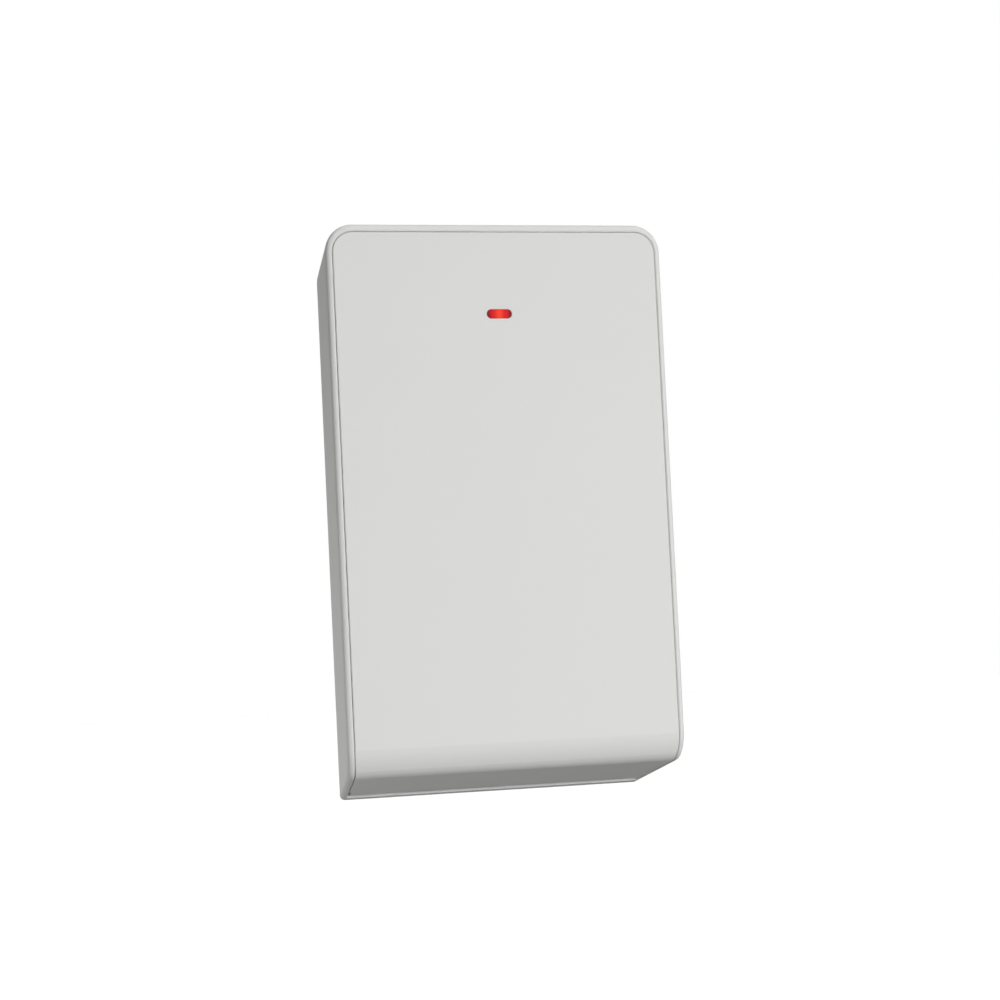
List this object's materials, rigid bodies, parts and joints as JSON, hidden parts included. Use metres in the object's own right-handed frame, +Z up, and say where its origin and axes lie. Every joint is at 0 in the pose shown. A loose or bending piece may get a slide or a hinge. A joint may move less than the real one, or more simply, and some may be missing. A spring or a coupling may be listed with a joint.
{
  "type": "wireless receiver module",
  "caption": "Slim wall-mounted receiver box: tapered rear housing, inlaid drop-down cover that wraps the bottom edge, red indicator window, circuit board with antennas, terminals and switches.",
  "frame": {"origin": "middle of the flat rear face, on the wall plane, half way up the box", "axes": "+Z up, +Y into the wall so the front faces -Y, +X to the right as seen from the front"},
  "size_m": [0.0796, 0.025, 0.1298],
  "materials": {
    "housing_plastic": "satin moulded, off-white",
    "cover_plastic": "satin moulded, off-white",
    "red_window": "clear red, polished",
    "board_laminate": "green solder resist",
    "radio_laminate": "dark green solder resist",
    "screw_steel": "zinc plated",
    "lamp_resin": "clear red epoxy",
    "terminal_plastic": "moulded, green",
    "clamp_brass": "nickel washed",
    "black_plastic": "moulded, black",
    "plunger_plastic": "moulded, ivory",
    "tinned_sheet": "tin plated sheet",
    "antenna_strip": "blanked and folded bronze strip, bright",
    "switch_plastic": "moulded, red",
    "slider_plastic": "moulded, white",
    "chip_epoxy": "moulded epoxy, black",
    "tinned_lead": "tinned",
    "crystal_can": "drawn can",
    "capacitor_sleeve": "shrunk sleeve, dark blue",
    "ferrite": "pressed ferrite",
    "chip_ceramic": "fired ceramic",
    "connector_plastic": "moulded, natural",
    "pin_brass": "gold flashed",
    "shunt_plastic": "moulded, blue"
  },
  "bodies": {
    "housing": {"rear_housing": "housing_plastic", "circuit_board": "board_laminate", "board_screws": "screw_steel", "status_led": "lamp_resin", "terminal_block": "terminal_plastic", "terminal_clamps": "clamp_brass", "terminal_screws": "screw_steel", "tamper_switch": "black_plastic", "receiver_board": "radio_laminate", "shield_can": "tinned_sheet", "antenna_left": "antenna_strip", "antenna_right": "antenna_strip", "address_switch": "switch_plastic", "microcontroller": "chip_epoxy", "component_leads": "tinned_lead", "crystal": "crystal_can", "electrolytic_capacitors": "capacitor_sleeve", "voltage_regulator": "chip_epoxy", "power_inductor": "ferrite", "chip_components": "chip_ceramic", "jumper_header": "black_plastic", "service_connector": "connector_plastic", "header_pins": "pin_brass", "jumper_shunt": "shunt_plastic"},
    "cover": {"front_cover": "cover_plastic", "light_pipe": "red_window"},
    "tamper_button": {"tamper_plunger": "plunger_plastic"},
    "address_1": {"address_slider_1": "slider_plastic"},
    "address_2": {"address_slider_2": "slider_plastic"},
    "address_3": {"address_slider_3": "slider_plastic"},
    "address_4": {"address_slider_4": "slider_plastic"}
  },
  "joints": [
    {"name": "cover_hinge", "type": "hinge", "parent": "housing", "child": "cover", "pos_m": [0, -0.0044, -0.06181], "axis": [1, 0, 0], "range_deg": [0, 95]},
    {"name": "tamper_slide", "type": "slide", "parent": "housing", "child": "tamper_button", "axis": [0, -1, 0], "range_m": [0, 0.0015]},
    {"name": "address_slide_1", "type": "slide", "parent": "housing", "child": "address_1", "axis": [0, 0, 1], "range_m": [0, 0.0022]},
    {"name": "address_slide_2", "type": "slide", "parent": "housing", "child": "address_2", "axis": [0, 0, 1], "range_m": [0, 0.0022]},
    {"name": "address_slide_3", "type": "slide", "parent": "housing", "child": "address_3", "axis": [0, 0, 1], "range_m": [0, 0.0022]},
    {"name": "address_slide_4", "type": "slide", "parent": "housing", "child": "address_4", "axis": [0, 0, 1], "range_m": [0, 0.0022]}
  ],
  "couplings": [
    {"joint": "tamper_slide", "follows": "cover_hinge", "m_per_rad": 0.0009}
  ]
}
